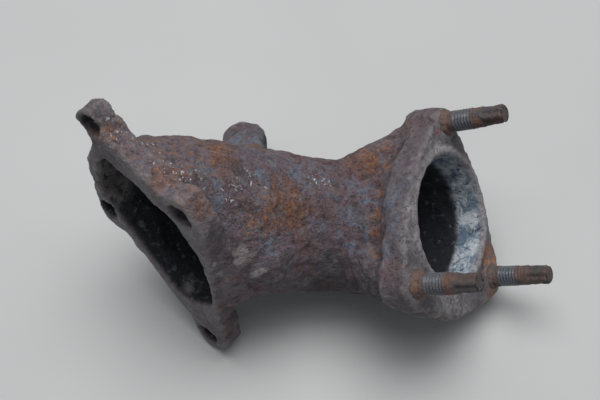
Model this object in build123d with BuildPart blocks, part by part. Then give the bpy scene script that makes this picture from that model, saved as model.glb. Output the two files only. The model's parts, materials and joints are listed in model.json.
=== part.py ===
from build123d import *
import math
import os

os.makedirs("parts", exist_ok=True)

# Cast exhaust outlet elbow, lying on its side on a flat surface.
# Millimetres and degrees. The origin is the centre of the outlet face, +Z is up.

# Outlet flange: its axis heads this way from +X, rises this much, and the single
# top stud is rolled up this much from level.
outlet_heading = -15.0
outlet_rise = 36.0
outlet_roll = 30.0
outlet_thickness = 13.0
outlet_bore = 57.0
outlet_land = 7.0
outlet_ear_radius = 10.5
top_ear_radius = 7.5
top_stud_offset = 44.0
pair_stud_offset = 28.0
pair_stud_spacing = 68.0
heel_offset = 23.0
heel_radius = 23.0
top_boss_reach = 0.88
pair_boss_reach = 0.96
boss_radius = 9.5
boss_root_reach = 0.32
boss_root_radius = 16.0
top_ear_pad = 5.0

# Inlet flange: where its centre lies from the outlet, how it is turned, and its plate.
inlet_offset_x = -132.0
inlet_offset_y = -15.5
inlet_heading = -130.0
inlet_rise = 7.0
inlet_roll = -45.0
inlet_thickness = 12.0
inlet_hole = 10.5
upper_ear_radius = 7.5
side_ear_radius = 9.0
lower_ear_radius = 8.5
upper_ear = (-56.5, 10.0)
lower_ear = (62.5, -18.5)
left_ear = (-12.0, -29.5)
right_ear = (-11.0, 33.0)
inlet_land = 6.0
lip_length = 76.0
lip_width = 44.0
lip_shift = 3.0
low_boss = (36.0, 12.0)
low_boss_radius = 10.0
low_boss_root = 18.0

# Port in the inlet flange, a rounded oblong with one flatter side.
port_length = 84.0
port_width = 46.0
port_corner = 10.0
plate_corner = 5.0

# Tapered duct between the two flanges.
wall = 6.0
neck_bore = 49.0
neck_offset = (-53.0, 5.5, -19.5)
belly_offset = (-88.0, 2.0, -2.5)
belly_length = 60.0
belly_width = 48.0
belly_heading = 22.0
duct_roll = 218.0

# Cast foot on the far side of the duct.
foot_radius = 11.5
foot_end_x = -97.0
foot_end_y = 66.5
foot_slope = 31.0
foot_length = 60.0

# Studs, all three alike, M10 with a collar on the flange and a six-lobe drive nose.
stud_radius = 5.0
stud_clearance = 0.05
stud_depth = 11.0
tapping_chamfer = 1.0
shank_radius = 4.7
collar_radius = 5.8
collar_length = 3.0
shank_length = 4.0
thread_length = 13.0
nose_radius = 4.4
nose_length = 10.0
lobe_count = 6
lobe_groove_radius = 0.9
end_chamfer = 0.6


def tilted_plane(origin, heading, rise, roll):
    """Plane whose normal has this heading and rise, with its X axis rolled up from level."""
    level = Vector(0, 1, 0).rotate(Axis.Z, heading)
    normal = Vector(1, 0, 0).rotate(Axis.Y, -rise).rotate(Axis.Z, heading)
    x_dir = level.rotate(Axis((0, 0, 0), tuple(normal)), roll)
    return Plane(origin=origin, x_dir=x_dir, z_dir=normal)


def lowest(plane, point, radius, thickness):
    """Height of the lowest point of a round ear of a plate that lies behind this plane."""
    centre = plane.from_local_coords((point[0], point[1], 0))
    across = radius * math.sqrt(1 - plane.z_dir.Z ** 2)
    behind = thickness * max(0.0, plane.z_dir.Z)
    return centre.Z - across - behind


# Where the part touches the surface that it lies on: an ear of each flange and the foot.
outlet = tilted_plane((0, 0, 0), outlet_heading, outlet_rise, outlet_roll)
top_stud = (top_stud_offset, 0.0)
near_stud = (-pair_stud_offset, pair_stud_spacing / 2)
far_stud = (-pair_stud_offset, -pair_stud_spacing / 2)
floor_height = lowest(outlet, far_stud, outlet_ear_radius, outlet_thickness)

level_inlet = tilted_plane(
    (inlet_offset_x, inlet_offset_y, 0), inlet_heading, inlet_rise, inlet_roll
)
inlet_lift = floor_height - lowest(level_inlet, lower_ear, lower_ear_radius, inlet_thickness)
inlet = tilted_plane(
    (inlet_offset_x, inlet_offset_y, inlet_lift), inlet_heading, inlet_rise, inlet_roll
)

belly = tilted_plane(belly_offset, belly_heading, 0.0, duct_roll)
neck = tilted_plane(neck_offset, 0.0, 0.0, duct_roll)
outlet_back = Plane(
    origin=outlet.from_local_coords((0, 0, -outlet_thickness)),
    x_dir=-outlet.x_dir,
    z_dir=outlet.z_dir,
)
inlet_back = Plane(
    origin=inlet.from_local_coords((lip_shift, 0, -inlet_thickness)),
    x_dir=inlet.x_dir,
    z_dir=-inlet.z_dir,
)

foot_end = Plane(
    origin=(foot_end_x, foot_end_y, floor_height + foot_radius * math.cos(math.radians(foot_slope))),
    x_dir=(1, 0, 0),
    z_dir=(0, -math.cos(math.radians(foot_slope)), math.sin(math.radians(foot_slope))),
)

# Passage sections in order of flow, as plane, length and width.
duct_sections = (
    (inlet_back, lip_length, lip_width),
    (belly, belly_length, belly_width),
    (neck, neck_bore, neck_bore),
    (outlet_back, outlet_bore, outlet_bore),
)

half_length = port_length / 2
half_width = port_width / 2
port_points = [
    (-half_length - 3.0, 1.0),
    (-8.0, half_width + 1.5),
    (14.0, half_width + 1.0),
    (half_length - 1.0, 8.0),
    (half_length - 1.0, -half_width + 5.0),
    (-24.0, -half_width - 0.5),
]
plate_points = [
    (upper_ear[0] - upper_ear_radius, upper_ear[1] - upper_ear_radius),
    (-half_length - inlet_land - 2.0, upper_ear[1] - upper_ear_radius - 1.5),
    (-half_length + 2.0, -half_width + 8.0),
    (left_ear[0] - 2.0, left_ear[1] - side_ear_radius - 0.5),
    (left_ear[0] + side_ear_radius - 1.0, left_ear[1] - side_ear_radius),
    (left_ear[0] + side_ear_radius + 3.0, -half_width - inlet_land),
    (lower_ear[0] - lower_ear_radius - 2.0, -half_width - inlet_land + 6.0),
    (lower_ear[0] - 2.0, lower_ear[1] - lower_ear_radius),
    (lower_ear[0] + lower_ear_radius, lower_ear[1] - lower_ear_radius),
    (lower_ear[0] + lower_ear_radius, lower_ear[1] + lower_ear_radius),
    (right_ear[0] + side_ear_radius, right_ear[1] + side_ear_radius),
    (right_ear[0] - side_ear_radius, right_ear[1] + side_ear_radius),
    (right_ear[0] - side_ear_radius - 1.5, half_width + inlet_land),
    (-half_length - inlet_land, upper_ear[1] + upper_ear_radius - 2.0),
    (upper_ear[0] - upper_ear_radius, upper_ear[1] + upper_ear_radius - 1.0),
]

# The casting: both flanges, the duct, the stud bosses and the foot are one pour.
with BuildPart() as casting:
    # inlet flange plate
    with BuildSketch(inlet):
        with BuildLine():
            FilletPolyline(*plate_points, radius=plate_corner, close=True)
        make_face()
    extrude(amount=-inlet_thickness)

    # outlet flange plate: round land about the bore, three ears and a heel
    with BuildSketch(outlet):
        Circle(outlet_bore / 2 + outlet_land)
        with Locations(near_stud, far_stud):
            Circle(outlet_ear_radius)
        with Locations(top_stud):
            Circle(top_ear_radius)
        with Locations((-heel_offset, 0)):
            Circle(heel_radius)
        make_hull()
    extrude(amount=-outlet_thickness)

    # the top ear is thicker behind its stud
    with BuildSketch(outlet_back):
        with Locations((-top_stud[0], -top_stud[1])):
            Circle(top_ear_radius)
    extrude(amount=-top_ear_pad)

    # outside of the tapered duct
    for plane, length, width in duct_sections:
        with BuildSketch(plane):
            RectangleRounded(length + 2 * wall, width + 2 * wall, width / 2 + wall - 1)
    loft()

    # a boss behind each stud runs back into the neck
    for stud, reach in (
        (top_stud, top_boss_reach),
        (near_stud, pair_boss_reach),
        (far_stud, pair_boss_reach),
    ):
        with BuildSketch(outlet_back):
            with Locations((-stud[0] * reach, -stud[1] * reach)):
                Circle(boss_radius)
        with BuildSketch(neck):
            with Locations((-stud[0] * boss_root_reach, -stud[1] * boss_root_reach)):
                Circle(boss_root_radius)
        loft()

    # the low end of the inlet flange flares into the duct
    with BuildSketch(inlet_back):
        with Locations((low_boss[0] - lip_shift, -low_boss[1])):
            Circle(low_boss_radius)
    with BuildSketch(belly):
        with Locations((low_boss_root, 0)):
            Circle(low_boss_root)
    loft()

    # foot on the far side, whose end rim touches the surface
    with BuildSketch(foot_end):
        Circle(foot_radius)
    extrude(amount=foot_length)

    # gas passage: port, tapered duct and outlet bore
    with BuildSketch(inlet):
        with BuildLine():
            FilletPolyline(*port_points, radius=port_corner, close=True)
        make_face()
    extrude(amount=-inlet_thickness, mode=Mode.SUBTRACT)
    for plane, length, width in duct_sections:
        with BuildSketch(plane):
            RectangleRounded(length, width, width / 2 - 1)
    loft(mode=Mode.SUBTRACT)
    with BuildSketch(outlet):
        Circle(outlet_bore / 2)
    extrude(amount=-outlet_thickness, mode=Mode.SUBTRACT)

    # clearance holes of the inlet flange and tapped holes of the outlet flange
    with BuildSketch(inlet):
        with Locations(upper_ear, lower_ear, left_ear, right_ear):
            Circle(inlet_hole / 2)
    extrude(amount=-inlet_thickness, mode=Mode.SUBTRACT)
    with BuildSketch(outlet):
        with Locations(top_stud, near_stud, far_stud):
            Circle(stud_radius + stud_clearance)
    extrude(amount=-outlet_thickness, mode=Mode.SUBTRACT)
    with BuildSketch(outlet):
        with Locations(top_stud, near_stud, far_stud):
            Circle(stud_radius + stud_clearance + tapping_chamfer)
    extrude(amount=-tapping_chamfer, taper=45, mode=Mode.SUBTRACT)

casting.part.label = "casting"
export_step(casting.part, "parts/casting.step")
print("casting", round(casting.part.volume), "mm3 in", len(casting.part.solids()), "solid")

# The studs: buried end, collar, plain shank, threaded length and lobed nose.
for name, place in (("stud_top", top_stud), ("stud_near", near_stud), ("stud_far", far_stud)):
    seat = Plane(
        origin=outlet.from_local_coords((place[0], place[1], 0)),
        x_dir=outlet.x_dir,
        z_dir=outlet.z_dir,
    )
    with BuildPart() as stud:
        with BuildSketch(seat.offset(-stud_depth)):
            Circle(stud_radius)
        extrude(amount=stud_depth + collar_length)
        with BuildSketch(seat.offset(collar_length)):
            Circle(shank_radius)
        extrude(amount=shank_length)
        with BuildSketch(seat.offset(collar_length + shank_length)):
            Circle(stud_radius)
        extrude(amount=thread_length)
        with BuildSketch(seat):
            Circle(collar_radius)
        extrude(amount=collar_length)
        with BuildSketch(seat.offset(collar_length + shank_length + thread_length)):
            Circle(nose_radius)
            with PolarLocations(nose_radius + lobe_groove_radius / 2, lobe_count):
                Circle(lobe_groove_radius, mode=Mode.SUBTRACT)
        extrude(amount=nose_length)
        chamfer(stud.faces().sort_by(Axis(seat.origin, seat.z_dir))[-1].edges(), end_chamfer)
    stud.part.label = name
    export_step(stud.part, f"parts/{name}.step")
    print(name, round(stud.part.volume), "mm3 in", len(stud.part.solids()), "solid")
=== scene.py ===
import json
import math
import bpy
import numpy as np
from mathutils import Matrix, Vector

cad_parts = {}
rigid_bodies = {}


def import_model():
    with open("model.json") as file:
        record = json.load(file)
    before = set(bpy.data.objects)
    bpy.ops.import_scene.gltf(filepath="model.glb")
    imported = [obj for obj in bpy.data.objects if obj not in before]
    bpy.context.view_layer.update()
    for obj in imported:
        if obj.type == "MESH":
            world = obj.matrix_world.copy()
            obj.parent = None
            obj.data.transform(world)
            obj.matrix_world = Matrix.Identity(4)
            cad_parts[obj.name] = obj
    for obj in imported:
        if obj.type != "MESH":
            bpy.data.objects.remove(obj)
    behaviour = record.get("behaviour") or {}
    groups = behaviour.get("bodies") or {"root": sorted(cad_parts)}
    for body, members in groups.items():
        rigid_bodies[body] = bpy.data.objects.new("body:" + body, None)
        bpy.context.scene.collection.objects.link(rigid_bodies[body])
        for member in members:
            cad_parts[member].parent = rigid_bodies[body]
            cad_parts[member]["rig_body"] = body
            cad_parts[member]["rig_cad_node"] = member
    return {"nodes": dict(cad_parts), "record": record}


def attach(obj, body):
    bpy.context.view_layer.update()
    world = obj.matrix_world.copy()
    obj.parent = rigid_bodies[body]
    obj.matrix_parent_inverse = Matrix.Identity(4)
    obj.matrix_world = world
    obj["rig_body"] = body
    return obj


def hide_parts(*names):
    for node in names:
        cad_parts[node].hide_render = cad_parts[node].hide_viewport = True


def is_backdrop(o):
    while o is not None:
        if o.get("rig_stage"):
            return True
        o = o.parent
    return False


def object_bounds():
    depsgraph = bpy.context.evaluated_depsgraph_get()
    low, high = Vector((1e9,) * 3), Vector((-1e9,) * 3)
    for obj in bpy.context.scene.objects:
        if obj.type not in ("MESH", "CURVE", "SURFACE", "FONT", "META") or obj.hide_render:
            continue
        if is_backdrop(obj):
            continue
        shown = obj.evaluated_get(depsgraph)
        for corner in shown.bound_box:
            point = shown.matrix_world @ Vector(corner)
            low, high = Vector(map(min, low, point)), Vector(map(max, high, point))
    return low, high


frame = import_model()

cad_low, cad_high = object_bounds()
part = bpy.context.scene


# ---------------------------------------------------------------------------
# Camera. It looks down at the elbow from in front, well above the horizon,
# so that the port, the duct and the mouth of the bore are all in sight.
# ---------------------------------------------------------------------------
camera_aim = (cad_low + cad_high) / 2 + Vector((-0.0122, -0.0008, -0.0118))
camera_height_angle = math.radians(62.5)
camera_distance = 0.440

bpy.ops.object.select_all(action="DESELECT")
back_along = Vector((0, -math.cos(camera_height_angle), math.sin(camera_height_angle)))
bpy.ops.object.camera_add(
    location=camera_aim + back_along * camera_distance,
    rotation=(math.pi / 2 - camera_height_angle, 0, 0),
)
camera = bpy.context.object
camera.name = "camera"
camera.data.sensor_width = 36
camera.data.lens = 57
camera.data.clip_start = 0.01
camera.data.clip_end = 20
part.camera = camera


# ---------------------------------------------------------------------------
# Floor and light. A smooth pale painted floor at the part's lowest point, lit
# by a broad soft lamp overhead, a wide ceiling light and a dim even sky, which
# leave one soft shadow under the part.
# ---------------------------------------------------------------------------
floor_grey = (0.43, 0.433, 0.425)
floor_width = 14.0
lamp_place = (-0.07, 0.21, 0.80)
lamp_white = (0.985, 0.985, 1.0)

bpy.ops.mesh.primitive_plane_add(size=floor_width, location=(camera_aim.x, camera_aim.y, cad_low.z))
floor = bpy.context.object
floor.name = "floor"
bpy.ops.object.transform_apply(location=True, rotation=True, scale=True)
floor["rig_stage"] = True

floor_paint = bpy.data.materials.new("pale floor paint")
floor_paint.use_nodes = True
made = floor_paint.node_tree
gloss = made.nodes["Principled BSDF"]
gloss.inputs["Roughness"].default_value = 0.62
gloss.inputs["Specular IOR Level"].default_value = 0.3
place = made.nodes.new("ShaderNodeTexCoord")
drift = made.nodes.new("ShaderNodeTexNoise")
drift.inputs["Scale"].default_value = 6.0
drift.inputs["Detail"].default_value = 5.0
made.links.new(place.outputs["Object"], drift.inputs["Vector"])
shade = made.nodes.new("ShaderNodeValToRGB")
shade.color_ramp.elements[0].position = 0.3
shade.color_ramp.elements[0].color = tuple(c * 0.965 for c in floor_grey) + (1,)
shade.color_ramp.elements[1].position = 0.7
shade.color_ramp.elements[1].color = tuple(c * 1.03 for c in floor_grey) + (1,)
made.links.new(drift.outputs["Fac"], shade.inputs["Fac"])
made.links.new(shade.outputs["Color"], gloss.inputs["Base Color"])
floor.data.materials.append(floor_paint)

part.view_settings.view_transform = "Standard"
sky = bpy.data.worlds.new("even sky")
sky.use_nodes = True
sky.node_tree.nodes["Background"].inputs["Color"].default_value = (0.90, 0.95, 1.0, 1)
sky.node_tree.nodes["Background"].inputs["Strength"].default_value = 0.27
part.world = sky

bpy.ops.object.light_add(type="AREA", location=lamp_place)
overhead = bpy.context.object
overhead.name = "overhead light"
overhead.data.shape = "RECTANGLE"
overhead.data.size = 0.70
overhead.data.size_y = 0.44
overhead.data.energy = 5.0
overhead.data.color = lamp_white
overhead.rotation_euler = (camera_aim - overhead.location).to_track_quat("-Z", "Y").to_euler()

bpy.ops.object.light_add(type="SUN", location=(0, 0.4, 1.5), rotation=(math.radians(-14), 0, 0))
ceiling = bpy.context.object
ceiling.name = "ceiling light"
ceiling.data.energy = 1.45
ceiling.data.angle = math.radians(55)
ceiling.data.color = lamp_white


# ---------------------------------------------------------------------------
# Casting. The elbow is grey iron poured in a sand mould, flanges, duct and foot
# in one piece, with only the flange faces and the bore cut afterwards. Its skin
# is lumpy and rolled over, and years of heat have rusted, scaled and sooted it.
# ---------------------------------------------------------------------------
mounts = {m["name"]: m for m in frame["record"]["mounts"]}
openings = {o["name"]: o["box_m"] for o in frame["record"]["physics"]["openings"]}
inlet_holes = ("inlet_hole_upper", "inlet_hole_lower", "inlet_hole_left", "inlet_hole_right")
stud_ends = ("stud_top_end", "stud_near_end", "stud_far_end")

outlet_centre = Vector(mounts["outlet_bore"]["pos_m"])
outlet_axis = Vector(mounts["outlet_bore"]["axis"]).normalized()
outlet_bore_radius = mounts["outlet_bore"]["dims"]["r_mm"] / 1000
outlet_flange_depth = mounts["outlet_bore"]["dims"]["length_mm"] / 1000
to_top_stud = Vector(mounts["stud_top_end"]["pos_m"]) - outlet_centre
to_top_stud = (to_top_stud - outlet_axis * to_top_stud.dot(outlet_axis)).normalized()
to_near_stud = outlet_axis.cross(to_top_stud)

# the port's long side leans at 45 degrees in the plane of the inlet face
inlet_on_face = Vector(mounts["inlet_face"]["pos_m"])
inlet_axis = Vector(mounts["inlet_face"]["axis"]).normalized()
inlet_flange_depth = mounts["inlet_hole_upper"]["dims"]["length_mm"] / 1000
port_lean = math.radians(-45)
level_in_face = Vector((0, 0, 1)).cross(inlet_axis).normalized()
down_port = Matrix.Rotation(port_lean, 3, inlet_axis) @ level_in_face
across_port = inlet_axis.cross(down_port).normalized()


def middle_of(opening):
    low_corner, high_corner = openings[opening]
    return (Vector(low_corner) + Vector(high_corner)) / 2


port_middle = middle_of("inlet_port") + inlet_axis * inlet_flange_depth / 2
behind_bore = outlet_centre - outlet_axis * outlet_flange_depth
duct_line = (port_middle, middle_of("belly"), middle_of("neck"), behind_bore)


def on_inlet(down, across, behind):
    """A place in millimetres from the port's middle: down its long side, across it, behind the face."""
    return port_middle + (down_port * down + across_port * across - inlet_axis * behind) / 1000


def on_outlet(up, near, behind):
    """A place in millimetres from the bore's centre: towards the top stud, the near stud, behind the face."""
    return outlet_centre + (to_top_stud * up + to_near_stud * near - outlet_axis * behind) / 1000


def on_duct(span, x, y, z):
    """A place in millimetres from the middle of the belly or of the neck."""
    return middle_of(span) + Vector((x, y, z)) / 1000


# the flank of the inlet flange is thickened by a long swelling, which joins the skin below
swelling_half_sizes = (0.0210, 0.0050, 0.0080)
swelling_slant = math.radians(35.4)
along_edge = down_port * math.cos(swelling_slant) - across_port * math.sin(swelling_slant)
bpy.ops.object.select_all(action="DESELECT")
bpy.ops.mesh.primitive_uv_sphere_add(segments=40, ring_count=24, radius=1.0)
swelling = bpy.context.object
swelling.name = "flank_swelling"
swelling.data.transform(
    Matrix.Translation(on_inlet(34, 16, 10.5))
    @ Matrix((along_edge, inlet_axis.cross(along_edge), inlet_axis)).transposed().to_4x4()
    @ Matrix.Diagonal(swelling_half_sizes + (1.0,)))

cad_casting = frame["nodes"]["casting"]
bpy.ops.object.select_all(action="DESELECT")
cad_casting.select_set(True)
bpy.context.view_layer.objects.active = cad_casting
bpy.ops.object.duplicate()
casting = bpy.context.object
casting.name = "iron_casting"
merge_distance = 0.000005
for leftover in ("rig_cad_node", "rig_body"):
    if leftover in casting:
        del casting[leftover]
casting.parent = None
casting.data.materials.clear()
bpy.ops.object.mode_set(mode="EDIT")
bpy.ops.mesh.select_all(action="SELECT")
bpy.ops.mesh.remove_doubles(threshold=merge_distance)
bpy.ops.object.mode_set(mode="OBJECT")
swelling.select_set(True)
casting.select_set(True)
bpy.context.view_layer.objects.active = casting
bpy.ops.object.join()


def finish_with(piece, kind, name, **settings):
    """Adds one modifier to the piece, sets it and applies it."""
    bpy.ops.object.select_all(action="DESELECT")
    piece.select_set(True)
    bpy.context.view_layer.objects.active = piece
    added = piece.modifiers.new(name, kind)
    for key, value in settings.items():
        setattr(added, key, value)
    bpy.ops.object.modifier_apply(modifier=added.name)


skin_cell = 0.00108
finish_with(casting, "REMESH", "even skin", mode="VOXEL", voxel_size=skin_cell, adaptivity=0.0)
finish_with(casting, "SMOOTH", "rolled corners", factor=0.5, iterations=12)


def points_of(piece):
    spots = np.zeros(len(piece.data.vertices) * 3, np.float32)
    piece.data.vertices.foreach_get("co", spots)
    return spots.reshape(-1, 3).astype(float)


def move_to(piece, spots):
    piece.data.vertices.foreach_set("co", spots.astype(np.float32).ravel())
    piece.data.update()


def normals_of(piece):
    facing = np.zeros(len(piece.data.vertices) * 3, np.float32)
    piece.data.vertices.foreach_get("normal", facing)
    return facing.reshape(-1, 3).astype(float)


def soft_step(values, start, end):
    t = np.clip((values - start) / (end - start), 0, 1)
    return t * t * (3 - 2 * t)


def spread_over(piece, values, times):
    """Averages a value along the edges, so that it has no hard border."""
    ends = np.zeros(len(piece.data.edges) * 2, np.int32)
    piece.data.edges.foreach_get("vertices", ends)
    a, b = ends[0::2], ends[1::2]
    wide = np.asarray(values, float)
    count = np.bincount(a, minlength=len(wide)) + np.bincount(b, minlength=len(wide)) + 1.0
    for _ in range(times):
        if wide.ndim == 1:
            total = wide + np.bincount(a, wide[b], len(wide)) + np.bincount(b, wide[a], len(wide))
            wide = total / count
        else:
            columns = []
            for column in wide.T:
                total = column + np.bincount(a, column[b], len(wide)) + np.bincount(b, column[a], len(wide))
                columns.append(total / count)
            wide = np.stack(columns, axis=1)
    return wide


def inside_the_duct(spots, facing):
    """1 where the skin faces the line that the gas follows, 0 outside."""
    least_inward = 0.12
    nearest = np.full(len(spots), 1e9)
    inward = np.zeros(len(spots))
    for start, end in zip(duct_line[:-1], duct_line[1:]):
        s, run = np.array(start), np.array(end - start)
        along = np.clip((spots - s) @ run / (run @ run), 0, 1)
        reach = s + along[:, None] * run - spots
        gap = np.linalg.norm(reach, axis=1)
        closer = gap < nearest
        nearest = np.where(closer, gap, nearest)
        inward = np.where(closer, (facing * reach).sum(1) / np.maximum(gap, 1e-6), inward)
    return (inward > least_inward).astype(float)


def parts_of_skin(skin):
    """Distances of each point of the skin from the two flange faces and the bore's axis."""
    above_outlet = (skin - np.array(outlet_centre)) @ np.array(outlet_axis)
    above_inlet = (skin - np.array(inlet_on_face)) @ np.array(inlet_axis)
    off_axis = np.linalg.norm(
        (skin - np.array(outlet_centre)) - above_outlet[:, None] * np.array(outlet_axis), axis=1)
    return above_outlet, above_inlet, off_axis


# the inside corners where plates, bosses and foot meet the duct are filled with wide fillets
fillet_passes = 140
clear_of_outlet_face = 0.006
clear_of_inlet_face = 0.0045
hole_guard_radius = 0.0066
hole_guard_depth = 0.020
skin = points_of(casting)
facing = normals_of(casting)
above_outlet, above_inlet, off_axis = parts_of_skin(skin)
may_fill = (above_outlet < -clear_of_outlet_face) & (above_inlet < -clear_of_inlet_face)
may_fill &= inside_the_duct(skin, facing) < 0.5
for hole in inlet_holes:
    mouth = np.array(mounts[hole]["pos_m"])
    along = (skin - mouth) @ np.array(inlet_axis)
    out = np.linalg.norm(skin - mouth - along[:, None] * np.array(inlet_axis), axis=1)
    may_fill &= ~((out < hole_guard_radius) & (along > -hole_guard_depth))
may_fill = spread_over(casting, may_fill.astype(float), 3) * may_fill
for _ in range(fillet_passes):
    toward = spread_over(casting, skin, 1) - skin
    outward = (toward * facing).sum(1)
    skin = skin + facing * (np.maximum(outward, 0) * may_fill)[:, None]
move_to(casting, skin)


def flatten_beyond(skin, at, toward, keep, reach):
    """Presses the skin near a place back to a flat facet, as a hammer or a gate cut leaves it."""
    toward = np.array(toward) / np.linalg.norm(toward)
    near = np.linalg.norm(skin - np.array(at), axis=1) < reach
    proud = (skin - np.array(at)) @ toward
    pressed = np.where(near & (proud > 0), proud * (1 - keep), 0)
    return skin - toward * pressed[:, None]


# the foot's end was knocked off its gate and is left with flat facets
foot_facets = (
    (on_duct("belly", 4, 40, -16.5), (0.90, -0.20, 0.38)),
    (on_duct("belly", -10.5, 38, -9.5), (-0.50, -0.15, 0.85)),
)
skin = points_of(casting)
for at, toward in foot_facets:
    skin = flatten_beyond(skin, at, toward, keep=0.12, reach=0.022)
move_to(casting, skin)

# the filled skin is made even again
finish_with(casting, "REMESH", "even filled skin", mode="VOXEL", voxel_size=skin_cell, adaptivity=0.0)
finish_with(casting, "SMOOTH", "settled fillets", factor=0.5, iterations=3)

skin = points_of(casting)
facing = normals_of(casting)
above_outlet, above_inlet, off_axis = parts_of_skin(skin)
outlet_flange_reach = 0.075
outlet_flange_left = -0.045
face_edge = 0.0012
on_outlet_flange = (above_outlet > -outlet_flange_depth - 0.001) & (off_axis < outlet_flange_reach)
on_outlet_flange &= skin[:, 0] > outlet_flange_left
on_inlet_flange = above_inlet > -inlet_flange_depth - 0.0015
lining = inside_the_duct(skin, facing)
in_the_bore = (off_axis < outlet_bore_radius + face_edge) & (above_outlet < -face_edge)
lining[on_outlet_flange] = in_the_bore[on_outlet_flange]
lining[on_inlet_flange & (above_inlet > -face_edge)] = 0
within_flange = soft_step(above_outlet, -outlet_flange_depth - 0.001, -outlet_flange_depth + 0.001)
bore_wall = lining * within_flange * on_outlet_flange
lining = spread_over(casting, lining, 2)
bore_wall = spread_over(casting, bore_wall, 2)
cut_outlet = soft_step(facing @ np.array(outlet_axis), 0.90, 0.98) * soft_step(above_outlet, -0.003, -0.0008)
cut_inlet = soft_step(facing @ np.array(inlet_axis), 0.90, 0.98) * soft_step(above_inlet, -0.003, -0.0008)
machined = spread_over(casting, np.clip(cut_outlet * on_outlet_flange + cut_inlet, 0, 1), 2)
bore_rim = soft_step(above_outlet, -0.0035, -0.0015) * soft_step(off_axis, 0.0335, 0.0300)
# the outer ring of the outlet face, which is painted darker as shade
outer_face_shade = soft_step(above_outlet, -outlet_flange_depth, -0.003) * soft_step(off_axis, 0.0335, 0.0365)
outer_face_shade = spread_over(casting, 0.40 * outer_face_shade * on_outlet_flange, 2)
flange_skin = spread_over(casting, (on_outlet_flange | on_inlet_flange).astype(float), 4)

# cut faces and the bore keep little of the rough skin
least_rough = 0.05
rough_share = np.round(1 - 0.72 * machined - 0.3 * bore_wall, 1)
rough_cast = casting.vertex_groups.new(name="rough cast")
for weight in np.unique(rough_share):
    members = np.nonzero(rough_share == weight)[0]
    rough_cast.add([int(i) for i in members], float(max(weight, least_rough)), "REPLACE")


def uneven(name, kind, size, depth=2, **settings):
    surface = bpy.data.textures.new(name, type=kind)
    surface.noise_scale = size
    if kind == "CLOUDS":
        surface.noise_depth = depth
    for key, value in settings.items():
        setattr(surface, key, value)
    return surface


for name, texture, height_of_skin in (
        ("sand mould waves", uneven("mould waves", "CLOUDS", 0.016, 1), 0.0022),
        ("cast lumps", uneven("cast lumps", "CLOUDS", 0.0055, 2), 0.0022),
        ("scale flakes", uneven("scale flakes", "STUCCI", 0.0028, turbulence=6.0), 0.0006)):
    finish_with(casting, "DISPLACE", name, texture=texture, texture_coords="LOCAL",
                strength=height_of_skin, mid_level=0.5, vertex_group="rough cast")

# the bore's mouth keeps a low ridge of scale, and
# rust has heaped up round the root of each stud
ridge_height = 0.0011
heap_height = 0.0019
stud_root_to_end = 0.007
skin = points_of(casting)
above_outlet, above_inlet, off_axis = parts_of_skin(skin)
ridge = soft_step(off_axis, 0.0290, 0.0305) * (1 - soft_step(off_axis, 0.0310, 0.0345))
ridge = ridge_height * ridge * soft_step(above_outlet, -0.003, -0.001)
skin = skin + np.array(outlet_axis) * (ridge * on_outlet_flange)[:, None]
for end in stud_ends:
    root = np.array(mounts[end]["pos_m"]) - np.array(outlet_axis) * stud_root_to_end
    along = (skin - root) @ np.array(outlet_axis)
    out = np.linalg.norm(skin - root - along[:, None] * np.array(outlet_axis), axis=1)
    ring = (1 - soft_step(out, 0.0052, 0.0098)) * soft_step(out, 0.0035, 0.0048)
    heap = heap_height * ring * soft_step(along, -0.004, -0.001)
    skin = skin + np.array(outlet_axis) * heap[:, None]
move_to(casting, skin)
finish_with(casting, "SMOOTH", "settled skin", factor=0.35, iterations=1)

# no lump reaches below what the part rests on
low = points_of(casting)
low[:, 2] = np.maximum(low[:, 2], cad_low.z)
move_to(casting, low)

skin = points_of(casting)
facing = normals_of(casting)
rounded = spread_over(casting, skin, 6)
crest_height = 0.0010
crest = np.clip(0.5 + ((skin - rounded) * facing).sum(1) / crest_height, 0, 1)


def keep_as(piece, name, values):
    """Stores one value for each point of the skin, for the finish to read."""
    stored = piece.data.attributes.new(name, "FLOAT", "POINT")
    stored.data.foreach_set("value", np.asarray(values, np.float32))


for name, values in (("lining", lining), ("bore wall", bore_wall), ("machined", machined),
                     ("flange", flange_skin), ("bore rim", bore_rim), ("outer face", outer_face_shade),
                     ("crest", crest)):
    keep_as(casting, name, values)


def effect(name, inputs, outputs):
    """An empty group with named sockets; numbers come in, masks and heights go out."""
    group = bpy.data.node_groups.new(name, "ShaderNodeTree")
    for label, kind, value in inputs:
        socket = group.interface.new_socket(label, in_out="INPUT", socket_type=kind)
        if value is not None:
            socket.default_value = value
    for label, kind in outputs:
        group.interface.new_socket(label, in_out="OUTPUT", socket_type=kind)
    return group, group.nodes.new("NodeGroupInput"), group.nodes.new("NodeGroupOutput")


def cut_between(tree, value, low_at, high_at):
    """A mask that rises smoothly from 0 at one level to 1 at the other."""
    cut = tree.nodes.new("ShaderNodeMapRange")
    cut.interpolation_type = "SMOOTHSTEP"
    cut.inputs["From Min"].default_value = low_at
    cut.inputs["From Max"].default_value = high_at
    tree.links.new(value, cut.inputs["Value"])
    return cut.outputs["Result"]


def blotch(tree, where, scale, detail, low_at, high_at, roughness=0.6, distortion=0.0):
    """Noise cut to a mask between two levels."""
    noise = tree.nodes.new("ShaderNodeTexNoise")
    noise.inputs["Scale"].default_value = scale
    noise.inputs["Detail"].default_value = detail
    noise.inputs["Roughness"].default_value = roughness
    noise.inputs["Distortion"].default_value = distortion
    tree.links.new(where, noise.inputs["Vector"])
    return cut_between(tree, noise.outputs["Fac"], low_at, high_at)


def combine(tree, how, first, second, third=None):
    sums = tree.nodes.new("ShaderNodeMath")
    sums.operation = how
    sums.use_clamp = how in ("ADD", "MULTIPLY", "MULTIPLY_ADD", "SUBTRACT")
    for socket, value in zip(sums.inputs, (first, second, third)):
        if value is None:
            continue
        if isinstance(value, (int, float)):
            socket.default_value = value
        else:
            tree.links.new(value, socket)
    return sums.outputs[0]


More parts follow.
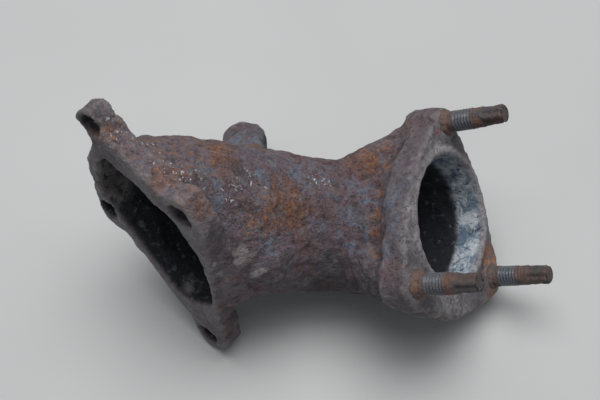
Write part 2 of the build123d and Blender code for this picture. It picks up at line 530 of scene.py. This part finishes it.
def painted_over(tree, under, over, mask):
    mix = tree.nodes.new("ShaderNodeMix")
    mix.data_type = "RGBA"
    mix.clamp_factor = True
    tree.links.new(mask, mix.inputs["Factor"])
    for socket, value in ((mix.inputs["A"], under), (mix.inputs["B"], over)):
        if isinstance(value, tuple):
            socket.default_value = value + (1,)
        else:
            tree.links.new(value, socket)
    return mix.outputs["Result"]


def shifted(tree, where, offset):
    move = tree.nodes.new("ShaderNodeVectorMath")
    move.operation = "ADD"
    move.inputs[1].default_value = offset
    tree.links.new(where, move.inputs[0])
    return move.outputs[0]


def near_point(tree, where, centre, inner, outer):
    """1 at a place on the part, falling to 0 at the outer distance, both in millimetres."""
    gap = tree.nodes.new("ShaderNodeVectorMath")
    gap.operation = "DISTANCE"
    gap.inputs[1].default_value = centre
    tree.links.new(where, gap.inputs[0])
    return cut_between(tree, gap.outputs["Value"], outer / 1000, inner / 1000)


def scaled_by(tree, where, size):
    scale = tree.nodes.new("ShaderNodeVectorMath")
    scale.operation = "SCALE"
    tree.links.new(where, scale.inputs[0])
    if isinstance(size, float):
        scale.inputs["Scale"].default_value = size
    else:
        tree.links.new(size, scale.inputs["Scale"])
    return scale.outputs[0]


# Rust comes through in crusts and in a fine bloom of grains.
rust, rust_in, rust_out = effect(
    "rust",
    [("Position", "NodeSocketVector", None), ("Size", "NodeSocketFloat", 1.0)],
    [("Crust", "NodeSocketFloat"), ("Grains", "NodeSocketFloat"), ("Dark Rust", "NodeSocketColor"),
     ("Bright Rust", "NodeSocketColor")])
spot = scaled_by(rust, rust_in.outputs["Position"], rust_in.outputs["Size"])
rust.links.new(blotch(rust, spot, 34, 8, 0.47, 0.60, 0.62, 0.5), rust_out.inputs["Crust"])
grains = blotch(rust, shifted(rust, spot, (0.3, 0.1, 0.7)), 620, 3, 0.45, 0.66)
rust.links.new(grains, rust_out.inputs["Grains"])
tone = blotch(rust, shifted(rust, spot, (0.9, 0.2, 0.4)), 150, 6, 0.35, 0.65)
for name, deep, bright in (("Dark Rust", (0.095, 0.042, 0.028), (0.180, 0.078, 0.042)),
                           ("Bright Rust", (0.22, 0.088, 0.036), (0.37, 0.150, 0.055))):
    rust.links.new(painted_over(rust, deep, bright, tone), rust_out.inputs[name])

# Pits are eaten into the skin and hold dark dirt.
pits, pits_in, pits_out = effect(
    "pits",
    [("Position", "NodeSocketVector", None), ("Size", "NodeSocketFloat", 1.0)],
    [("Pits", "NodeSocketFloat"), ("Fine Pits", "NodeSocketFloat"), ("Height", "NodeSocketFloat")])
spot = scaled_by(pits, pits_in.outputs["Position"], pits_in.outputs["Size"])
coarse = blotch(pits, spot, 300, 4, 0.56, 0.70, 0.65)
fine = blotch(pits, shifted(pits, spot, (0.5, 0.8, 0.2)), 900, 3, 0.53, 0.68, 0.6)
pits.links.new(coarse, pits_out.inputs["Pits"])
pits.links.new(fine, pits_out.inputs["Fine Pits"])
swell = blotch(pits, shifted(pits, spot, (0.2, 0.3, 0.9)), 420, 6, 0.2, 0.8, 0.7)
sunk = combine(pits, "SUBTRACT", swell, combine(pits, "MULTIPLY", coarse, 0.55))
sunk = combine(pits, "SUBTRACT", sunk, combine(pits, "MULTIPLY", fine, 0.25))
pits.links.new(sunk, pits_out.inputs["Height"])

iron_grey = (0.106, 0.091, 0.104)
iron_purple = (0.116, 0.076, 0.092)
iron_dark = (0.036, 0.029, 0.034)
iron_blue = (0.115, 0.150, 0.205)
# dark dirt for the pits, also used for the painted shade in the hollows
pit_dirt_and_shade = (0.014, 0.011, 0.013)
scraped_iron = (0.27, 0.245, 0.235)
salt_white = (0.66, 0.66, 0.66)
soot_black = (0.0100, 0.0118, 0.0170)
soot_flake = (0.075, 0.085, 0.095)
port_grey = (0.150, 0.145, 0.140)
ash_blue = (0.125, 0.180, 0.240)
ash_white = (0.50, 0.54, 0.57)
ash_dark = (0.030, 0.040, 0.052)
grain_grey = (0.21, 0.20, 0.215)
flange_grey = (0.108, 0.092, 0.102)
cut_face_dark = (0.115, 0.100, 0.105)
cut_face_pale = (0.190, 0.182, 0.200)
flake_pale = (0.36, 0.35, 0.345)
painted_shade_outer_grey = (0.050, 0.045, 0.052)
rim_highlight_pale = (0.38, 0.39, 0.42)
# the dark grey of the painted shade in the hollows
painted_shade_dark = (0.026, 0.021, 0.024)
fresh_red = (0.26, 0.070, 0.065)

# places on the casting, each with the distances in millimetres where it starts to fade and where it ends
rusted_at = (
    (on_inlet(-32, 21, 17), 6, 26), (on_inlet(-23, 16, 34), 6, 24), (on_inlet(-51, 16, 6), 3, 14),
    (on_inlet(-15, 42, 3), 3, 16), (on_outlet(34, 18, 27), 4, 20),
    (on_duct("belly", 3, -13, 28), 4, 18), (on_duct("belly", 13, -6, 25), 3, 18),
    (on_duct("belly", -4, 40, 8), 10, 35), (on_duct("neck", -7, -6, -28), 10, 35),
)
bled_at = (
    (on_outlet(23, 20, 19), 1, 5), (on_outlet(14, 26, 19), 1, 5), (on_outlet(3, 30, 19), 1.5, 6),
    (on_outlet(-5, 32, 19), 1.5, 6.5), (on_outlet(-13, 34, 18), 1.2, 6), (on_outlet(-30, 30, 0), 1, 7),
    (on_outlet(-21, -34, 0), 5, 13), (on_outlet(-35, -39, 0), 5, 13), (on_outlet(1, -22, -5), 1, 7),
)
# places where shade is painted into the hollows of the casting
shade_painted_at = (
    (on_outlet(-24, 35, 32), 8, 20), (on_outlet(-27, 37, 19), 4, 14), (on_inlet(-61, 11, -1), 3, 14),
    (on_duct("belly", -8, 4, 37), 1, 7), (on_duct("belly", -4.5, -11, 33.5), 1, 5),
    (on_duct("neck", -3, -27.5, 4.5), 6, 18),
)
port_greyed_at = (
    (on_inlet(-29, -18, 3), 6, 13), (on_inlet(-19, -23, 7), 3, 10), (on_inlet(-34, -10, -3), 6, 14),
    (on_inlet(37, -17, 7), 1, 6),
)
blued_at = (
    (on_inlet(-21, 33, 12), 4, 14), (on_inlet(-12, 30, 19), 4, 14), (on_duct("belly", 7, -19.5, 22), 3, 14),
    (on_duct("belly", 2.5, 11, 29), 3, 14), (on_duct("belly", 23.5, 13, 16.5), 4, 20),
    (on_duct("neck", 9, 2, 28.5), 4, 18), (on_duct("neck", 13, -17.5, 23), 4, 16),
    (on_duct("belly", -5, 44, -13.5), 12, 24), (on_duct("belly", -42, 43, -7.5), 6, 30),
    (on_duct("neck", 3, 44.5, 9.5), 6, 26), (on_outlet(6, 36, 4), 6, 16), (on_outlet(-12, 37, 4), 6, 16),
)
salted_at = (
    (on_inlet(-38, 16, 15), 1, 6), (on_inlet(-32, 23, 12), 1, 7), (on_inlet(-24, 27, 13), 2, 8),
    (on_inlet(-17, 30, 16), 2, 9), (on_inlet(-51, 16, 5), 2, 9), (on_duct("belly", -8.5, -8, 38.5), 2, 8),
    (on_duct("belly", 0, 1.5, 33.5), 2, 8), (on_duct("belly", 27, 11, 15.5), 2, 8),
)
scraped_at = (
    (on_inlet(24, 30, 15), 1.2, 4.6), (on_inlet(33, 30, 18), 1.5, 4.4), (on_inlet(19, 31, 16), 1, 4),
    (on_inlet(17, 29, 2), 1.2, 4.2), (on_inlet(23, 25, 3), 1, 3.8), (on_duct("belly", 6, 46, -18.5), 2, 7.5),
)
flaking_at = (
    (on_outlet(-40, 11, 0), 6, 13), (on_outlet(-42, -2, 0), 7, 14), (on_outlet(32, 7, 1), 3, 11),
    (on_outlet(31, -4, 0), 2, 9), (on_outlet(-9, 35, 0), 2, 9), (on_outlet(3, 36, 0), 1, 7),
    (on_outlet(11, -29, -1), 2, 10),
)
fresh_rust_at = on_outlet(39, 8, 0)

cast_iron = bpy.data.materials.new("rusty sand cast iron")
cast_iron.use_nodes = True
made = cast_iron.node_tree
iron = made.nodes["Principled BSDF"]
iron.inputs["Specular IOR Level"].default_value = 0.45
place = made.nodes.new("ShaderNodeTexCoord").outputs["Object"]


def stored(tree, name):
    node = tree.nodes.new("ShaderNodeAttribute")
    node.attribute_name = name
    return node.outputs["Fac"]


def use(tree, group, where, size):
    node = tree.nodes.new("ShaderNodeGroup")
    node.node_tree = group
    tree.links.new(where, node.inputs["Position"])
    node.inputs["Size"].default_value = size
    return node.outputs


def at_any(tree, where, places):
    """1 near any of the places, with ragged edges."""
    ragged_by = 0.012
    wobble = tree.nodes.new("ShaderNodeTexNoise")
    wobble.inputs["Scale"].default_value = 190
    wobble.inputs["Detail"].default_value = 5
    wobble.inputs["Roughness"].default_value = 0.65
    tree.links.new(where, wobble.inputs["Vector"])
    centred = tree.nodes.new("ShaderNodeVectorMath")
    centred.operation = "SUBTRACT"
    centred.inputs[1].default_value = (0.5, 0.5, 0.5)
    tree.links.new(wobble.outputs["Color"], centred.inputs[0])
    ragged = tree.nodes.new("ShaderNodeVectorMath")
    ragged.operation = "ADD"
    tree.links.new(where, ragged.inputs[0])
    tree.links.new(scaled_by(tree, centred.outputs[0], ragged_by), ragged.inputs[1])
    found = None
    for centre, inner, outer in places:
        one = near_point(tree, ragged.outputs[0], centre, inner, outer)
        found = one if found is None else combine(tree, "MAXIMUM", found, one)
    return found


rusting = use(made, rust, place, 1.0)
pitting = use(made, pits, place, 1.0)

# bare skin: grey and purple oxide, dark mottling, bluish heat patches
colour = painted_over(made, iron_grey, iron_purple, blotch(made, place, 95, 7, 0.42, 0.58, 0.65, 0.6))
mottle = blotch(made, shifted(made, place, (0.6, 0.2, 0.8)), 170, 8, 0.50, 0.66, 0.72, 0.5)
colour = painted_over(made, colour, iron_dark, combine(made, "MULTIPLY", mottle, 0.62))
heat = at_any(made, place, blued_at)
blue = blotch(made, shifted(made, place, (0.7, 0.4, 0.1)), 190, 8, 0.46, 0.58, 0.72, 0.8)
blue = combine(made, "MULTIPLY", blue, combine(made, "MULTIPLY_ADD", heat, 0.72, 0.28))
colour = painted_over(made, colour, iron_blue, blue)

# rust: strongest on the shoulder above the port, on the waist and round the neck
rusty = at_any(made, place, rusted_at)
crust = combine(made, "MULTIPLY", rusting["Crust"], combine(made, "MULTIPLY_ADD", rusty, 0.70, 0.25))
colour = painted_over(made, colour, rusting["Dark Rust"], crust)
bloom = combine(made, "MULTIPLY", rusting["Grains"], combine(made, "MULTIPLY_ADD", rusty, 0.62, 0.16))
colour = painted_over(made, colour, rusting["Bright Rust"], combine(made, "MULTIPLY", bloom, 0.85))
grey_grain = blotch(made, shifted(made, place, (0.4, 0.7, 0.6)), 760, 3, 0.56, 0.70)
colour = painted_over(made, colour, grain_grey, combine(made, "MULTIPLY", grey_grain, 0.42))

# flange skins are smoother and greyer, and their cut faces paler
flange = stored(made, "flange")
between_crusts = combine(made, "MULTIPLY_ADD", rusting["Crust"], -0.30, 0.42)
colour = painted_over(made, colour, flange_grey, combine(made, "MULTIPLY", flange, between_crusts))
faced = stored(made, "machined")
face_tone = painted_over(made, cut_face_dark, cut_face_pale,
                         blotch(made, place, 190, 8, 0.40, 0.62, 0.72))
colour = painted_over(made, colour, face_tone, combine(made, "MULTIPLY", faced, 0.75))
flakes = combine(made, "MULTIPLY", at_any(made, place, flaking_at),
                 blotch(made, shifted(made, place, (0.9, 0.6, 0.1)), 260, 8, 0.42, 0.56, 0.75, 1.2))
colour = painted_over(made, colour, flake_pale, combine(made, "MULTIPLY", flakes, 0.72))
# painted shade: the outer ring of the outlet face is darkened
painted_outer_face_shade = combine(made, "MULTIPLY", stored(made, "outer face"),
                blotch(made, shifted(made, place, (0.8, 0.8, 0.2)), 120, 6, 0.25, 0.50))
colour = painted_over(made, colour, painted_shade_outer_grey, painted_outer_face_shade)
# painted highlight: a pale band round the bore's rim
painted_rim_highlight = combine(made, "MULTIPLY", stored(made, "bore rim"),
              blotch(made, shifted(made, place, (0.2, 0.4, 0.7)), 330, 6, 0.36, 0.60, 0.7))
colour = painted_over(made, colour, rim_highlight_pale, combine(made, "MULTIPLY", painted_rim_highlight, 0.62))

# painted shade: the hollows of the neck, the top ear and two dents in the waist are painted darker
painted_hollow_shade = combine(made, "MULTIPLY", at_any(made, place, shade_painted_at),
                blotch(made, shifted(made, place, (0.7, 0.9, 0.4)), 140, 6, 0.25, 0.55, 0.65))
colour = painted_over(made, colour, painted_shade_dark, combine(made, "MULTIPLY", painted_hollow_shade, 0.62))

# rust bled out of the stud holes and down the neck
bled = combine(made, "MULTIPLY", at_any(made, place, bled_at),
               blotch(made, shifted(made, place, (0.3, 0.5, 0.2)), 230, 6, 0.36, 0.58, 0.65))
colour = painted_over(made, colour, rusting["Bright Rust"], combine(made, "MULTIPLY", bled, 0.86))
fresh = combine(made, "MULTIPLY", near_point(made, place, fresh_rust_at, 0.4, 2.4), 0.6)
colour = painted_over(made, colour, fresh_red, fresh)

# dirt in the pits, worn crests, and dirt and painted shade in the hollows of the skin
colour = painted_over(made, colour, pit_dirt_and_shade, combine(made, "MULTIPLY", pitting["Pits"], 0.62))
colour = painted_over(made, colour, pit_dirt_and_shade, combine(made, "MULTIPLY", pitting["Fine Pits"], 0.55))
crest = stored(made, "crest")
worn = cut_between(made, crest, 0.60, 0.95)
colour = painted_over(made, colour, scraped_iron, combine(made, "MULTIPLY", worn, 0.40))
# the hollows of the skin are darkened: dirt, and partly painted shade
hollow_dirt_and_shade = cut_between(made, crest, 0.45, 0.12)
colour = painted_over(made, colour, pit_dirt_and_shade, combine(made, "MULTIPLY", hollow_dirt_and_shade, 0.50))

# scrapes down to paler iron, and white specks of dried salt
scrapes = combine(made, "MULTIPLY", at_any(made, place, scraped_at),
                  blotch(made, shifted(made, place, (0.5, 0.5, 0.9)), 420, 4, 0.34, 0.50))
colour = painted_over(made, colour, scraped_iron, combine(made, "MULTIPLY", scrapes, 0.72))
specks = combine(made, "MULTIPLY", blotch(made, shifted(made, place, (0.1, 0.6, 0.3)), 620, 3, 0.60, 0.66),
                 combine(made, "MULTIPLY_ADD", at_any(made, place, salted_at), 0.95, 0.03))
colour = painted_over(made, colour, salt_white, specks)

# soot and ash in the gas way, greyer by the top of the port
lined = stored(made, "lining")
soot = painted_over(made, soot_black, soot_flake,
                    blotch(made, shifted(made, place, (0.2, 0.9, 0.5)), 260, 5, 0.58, 0.66, 0.6))
port_end = combine(made, "MULTIPLY", at_any(made, place, port_greyed_at),
                   blotch(made, shifted(made, place, (0.6, 0.6, 0.6)), 210, 6, 0.40, 0.50, 0.65))
soot = painted_over(made, soot, port_grey, port_end)
colour = painted_over(made, colour, soot, combine(made, "MULTIPLY", lined, 0.98))
ash = painted_over(made, ash_blue, ash_white,
                   blotch(made, shifted(made, place, (0.8, 0.1, 0.6)), 150, 9, 0.42, 0.58, 0.75, 0.6))
ash = painted_over(made, ash, ash_dark,
                   blotch(made, shifted(made, place, (0.1, 0.2, 0.3)), 210, 7, 0.54, 0.64, 0.7, 0.5))
colour = painted_over(made, colour, ash, combine(made, "MULTIPLY", stored(made, "bore wall"), 0.95))
made.links.new(colour, iron.inputs["Base Color"])

dull = made.nodes.new("ShaderNodeMapRange")
dull.inputs["To Min"].default_value = 0.62
dull.inputs["To Max"].default_value = 0.90
made.links.new(rusting["Crust"], dull.inputs["Value"])
shine = combine(made, "SUBTRACT", dull.outputs["Result"], combine(made, "MULTIPLY", worn, 0.2))
shine = combine(made, "SUBTRACT", shine, combine(made, "MULTIPLY", faced, 0.10))
made.links.new(shine, iron.inputs["Roughness"])
made.links.new(combine(made, "MULTIPLY", worn, 0.35), iron.inputs["Metallic"])

relief = made.nodes.new("ShaderNodeBump")
relief.inputs["Strength"].default_value = 1.0
relief.inputs["Distance"].default_value = 0.0013
raised = combine(made, "ADD", combine(made, "MULTIPLY", pitting["Height"], 0.75),
                 combine(made, "MULTIPLY", rusting["Crust"], 0.16))
smoother_flange = combine(made, "MULTIPLY_ADD", flange, -0.45, 1.0)
made.links.new(combine(made, "MULTIPLY", raised, smoother_flange), relief.inputs["Height"])
made.links.new(relief.outputs["Normal"], iron.inputs["Normal"])

casting.data.materials.append(cast_iron)
bpy.ops.object.select_all(action="DESELECT")
casting.select_set(True)
bpy.context.view_layer.objects.active = casting
bpy.ops.object.shade_smooth()
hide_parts("casting")
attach(casting, "root")


# ---------------------------------------------------------------------------
# Studs. Three M10 steel studs are screwed into the outlet flange: a collar
# of scale at the root, a plain shank, a 1.5 mm pitch thread and a narrower
# six-lobed nose for the driver. One is made upright and copied three times.
# ---------------------------------------------------------------------------
stud_radius = 0.0050
stud_collar_radius = 0.0058
stud_collar_height = 0.0030
stud_shank = 0.0040
stud_shank_radius = 0.0048
stud_thread = 0.0130
stud_pitch = 0.0015
stud_thread_depth = 0.00080
stud_nose = 0.0100
stud_nose_radius = 0.0044
stud_root_depth = 0.0108
stud_lobes = 6
stud_corners = 64
stud_slack = 0.00005
buried_ring_step = 0.0022
shown_ring_step = 0.00025
thread_runs_in = 0.0012
thread_wears_over = 0.0055

bpy.ops.object.select_all(action="DESELECT")
bpy.ops.mesh.primitive_circle_add(vertices=stud_corners, radius=stud_radius - stud_slack, fill_type="NGON",
                                  location=(0, 0, -stud_root_depth))
stud = bpy.context.object
stud.name = "stud_pattern"
bpy.ops.object.transform_apply(location=True, rotation=True, scale=True)
bpy.ops.object.mode_set(mode="EDIT")
bpy.ops.mesh.select_all(action="SELECT")


def raise_ring(height):
    bpy.ops.mesh.extrude_region_move(TRANSFORM_OT_translate={"value": (0, 0, height)})


nose_start = stud_collar_height + stud_shank + stud_thread
stud_top = nose_start + stud_nose
level = -stud_root_depth
while level < stud_top - 1e-6:
    buried = level < -1e-6
    step = min(buried_ring_step, -level) if buried else min(shown_ring_step, stud_top - level)
    raise_ring(step)
    level += step
bpy.ops.mesh.inset(thickness=0.0012)
bpy.ops.mesh.inset(thickness=0.0014)
bpy.ops.mesh.poke()
bpy.ops.mesh.select_all(action="SELECT")
bpy.ops.mesh.normals_make_consistent(inside=False)
bpy.ops.object.mode_set(mode="OBJECT")

for point in stud.data.vertices:
    x, y, z = point.co
    around = math.atan2(y, x)
    reach = math.hypot(x, y)
    if reach < stud_radius * 0.9 or z < 0:
        continue
    worn_from = nose_start - thread_wears_over
    if z < stud_collar_height:
        up = z / stud_collar_height
        radius = stud_collar_radius + 0.0006 * (1 - up) - 0.0009 * up ** 2
    elif z < stud_collar_height + stud_shank - thread_runs_in:
        radius = stud_shank_radius
    elif z < nose_start:
        turn = (z / stud_pitch - around / (2 * math.pi)) % 1.0
        flank = 1 - abs(2 * turn - 1)
        clogged = max(0.12, min(1, 1 - (z - worn_from) / 0.0022))
        into_thread = z - stud_collar_height - stud_shank + thread_runs_in
        fade = min(1, into_thread / thread_runs_in, (nose_start - z) / 0.0010)
        groove = max(0, min(1, (flank - 0.14) * 1.25))
        radius = stud_radius - 0.0001 - stud_thread_depth * clogged * fade * groove
        radius -= 0.00028 * max(0, min(1, (z - worn_from) / 0.002))
    else:
        up = (z - nose_start) / stud_nose
        lobes = 0.5 + 0.5 * math.cos(stud_lobes * around)
        radius = stud_nose_radius - 0.00080 * (1 - lobes) ** 1.4 - 0.00012 * up
        if up < 0.12:
            radius = stud_radius - 0.0004 + (radius - stud_radius + 0.0004) * (up / 0.12)
        if up > 0.90:
            radius -= 0.0009 * ((up - 0.90) / 0.10) ** 1.5
    point.co.x = x * radius / reach
    point.co.y = y * radius / reach
stud.data.update()

# how orange each stud's root is and how much oil its thread holds
root_orange = {"top": 0.25, "near": 1.0, "far": 0.15}
thread_oil = {"top": 0.7, "near": 0.7, "far": 1.0}
rust_lump = uneven("rust lumps", "CLOUDS", 0.0026, 2)
stud_steel = bpy.data.materials.new("rusty stud steel")
stud_steel.use_nodes = True
made = stud_steel.node_tree
steel = made.nodes["Principled BSDF"]
steel.inputs["Specular IOR Level"].default_value = 0.5
place = made.nodes.new("ShaderNodeTexCoord").outputs["Object"]
rusting = use(made, rust, place, 2.4)
pitting = use(made, pits, place, 1.2)
dark_steel = (0.062, 0.056, 0.058)
brown_steel = (0.088, 0.066, 0.058)
thread_blue = (0.066, 0.088, 0.112)
nose_dark = (0.045, 0.042, 0.044)
rubbed_steel_and_highlight = (0.19, 0.19, 0.20)
colour = painted_over(made, dark_steel, brown_steel, blotch(made, place, 210, 5, 0.40, 0.60))
on_thread = stored(made, "thread")
oiled = blotch(made, shifted(made, place, (0.3, 0.3, 0.6)), 120, 4, 0.42, 0.60)
oiled = combine(made, "MULTIPLY_ADD", oiled, 0.4, 0.6)
colour = painted_over(made, colour, thread_blue, combine(made, "MULTIPLY", on_thread, oiled))
at_root = stored(made, "root rust")
at_nose = stored(made, "nose")
colour = painted_over(made, colour, nose_dark, combine(made, "MULTIPLY", at_nose, 0.7))
past_thread = combine(made, "MULTIPLY", stored(made, "worn thread"),
                      blotch(made, shifted(made, place, (0.4, 0.1, 0.9)), 260, 5, 0.38, 0.58))
colour = painted_over(made, colour, rusting["Dark Rust"], combine(made, "MULTIPLY", past_thread, 0.55))
crust = combine(made, "MULTIPLY", rusting["Crust"], combine(made, "MULTIPLY_ADD", on_thread, -0.75, 1.0))
crust = combine(made, "MULTIPLY", crust, combine(made, "MULTIPLY_ADD", at_root, 0.4, 0.32))
colour = painted_over(made, colour, rusting["Dark Rust"], crust)
root_bloom = combine(made, "MULTIPLY", at_root, combine(made, "MULTIPLY_ADD", rusting["Grains"], 0.35, 0.12))
colour = painted_over(made, colour, rusting["Bright Rust"], root_bloom)
colour = painted_over(made, colour, pit_dirt_and_shade, combine(made, "MULTIPLY", pitting["Pits"], 0.5))
# the thread's crests are painted paler: rubbed steel, and partly a painted highlight
crest_rub_and_highlight = cut_between(made, stored(made, "crest"), 0.62, 0.90)
bright = combine(made, "MULTIPLY", crest_rub_and_highlight, combine(made, "MULTIPLY_ADD", at_root, -0.8, 0.8))
bright = combine(made, "MULTIPLY", bright, combine(made, "MULTIPLY_ADD", on_thread, 0.8, 0.2))
colour = painted_over(made, colour, rubbed_steel_and_highlight, combine(made, "MULTIPLY", bright, 0.50))
steel.inputs["Coat Roughness"].default_value = 0.14
made.links.new(combine(made, "MULTIPLY", on_thread, 0.55), steel.inputs["Coat Weight"])
made.links.new(colour, steel.inputs["Base Color"])
made.links.new(combine(made, "MULTIPLY", bright, 0.8), steel.inputs["Metallic"])
made.links.new(combine(made, "MULTIPLY_ADD", bright, -0.38, 0.66), steel.inputs["Roughness"])
relief = made.nodes.new("ShaderNodeBump")
relief.inputs["Strength"].default_value = 0.7
relief.inputs["Distance"].default_value = 0.0006
made.links.new(pitting["Height"], relief.inputs["Height"])
made.links.new(relief.outputs["Normal"], steel.inputs["Normal"])

stud_skin = points_of(stud)
height = stud_skin[:, 2].copy()
rounded = spread_over(stud, stud_skin, 3)
stud_crest_height = 0.0004
stud_crest = np.clip(0.5 + ((stud_skin - rounded) * normals_of(stud)).sum(1) / stud_crest_height, 0, 1)
past_nose = soft_step(height, nose_start - 0.0005, nose_start + 0.0010)
thread_end = soft_step(height, nose_start - 0.0065, nose_start - 0.0045)
worn_start = soft_step(height, nose_start - 0.0065, nose_start - 0.0050)
for name, values in (("thread", soft_step(height, 0.0055, 0.0065) * (1 - thread_end)),
                     ("worn thread", worn_start * (1 - past_nose)), ("nose", past_nose),
                     ("root rust", 1 - soft_step(height, 0.0030, 0.0070)), ("crest", stud_crest)):
    keep_as(stud, name, values)
stud.data.materials.append(stud_steel)
bpy.ops.object.shade_smooth()

crust_share = (0.22 + 0.78 * (1 - soft_step(height, 0.0030, 0.0065))
               + 0.35 * soft_step(height, nose_start - 0.006, nose_start - 0.004))
upright_turn = outlet_axis.to_track_quat("Z", "Y").to_matrix().to_4x4()
for number, name in enumerate(("top", "near", "far")):
    end = mounts["stud_%s_end" % name]
    base = Vector(end["pos_m"]) - Vector(end["axis"]).normalized() * (stud_collar_height + stud_shank)
    turned = Matrix.Rotation(0.35 + number * 0.7, 4, "Z")
    bpy.ops.object.select_all(action="DESELECT")
    copy = stud.copy()
    copy.data = stud.data.copy()
    copy.name = "steel_stud_" + name
    part.collection.objects.link(copy)
    copy.data.transform(Matrix.Translation(base) @ upright_turn @ turned)
    copy.data.update()
    crusted = copy.vertex_groups.new(name="crusted")
    for point, share in enumerate(crust_share):
        crusted.add([point], float(share), "REPLACE")
    finish_with(copy, "DISPLACE", "rust lumps", texture=rust_lump, texture_coords="LOCAL",
                strength=0.0013, mid_level=0.5, vertex_group="crusted")
    for layer, share in (("root rust", root_orange[name]), ("thread", thread_oil[name])):
        stored_values = np.zeros(len(height), np.float32)
        copy.data.attributes[layer].data.foreach_get("value", stored_values)
        copy.data.attributes[layer].data.foreach_set("value", stored_values * share)
    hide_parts("stud_" + name)
    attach(copy, "root")
bpy.data.objects.remove(stud)


# ---------------------------------------------------------------------------
# The box of the finished part is measured.
# ---------------------------------------------------------------------------
low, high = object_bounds()
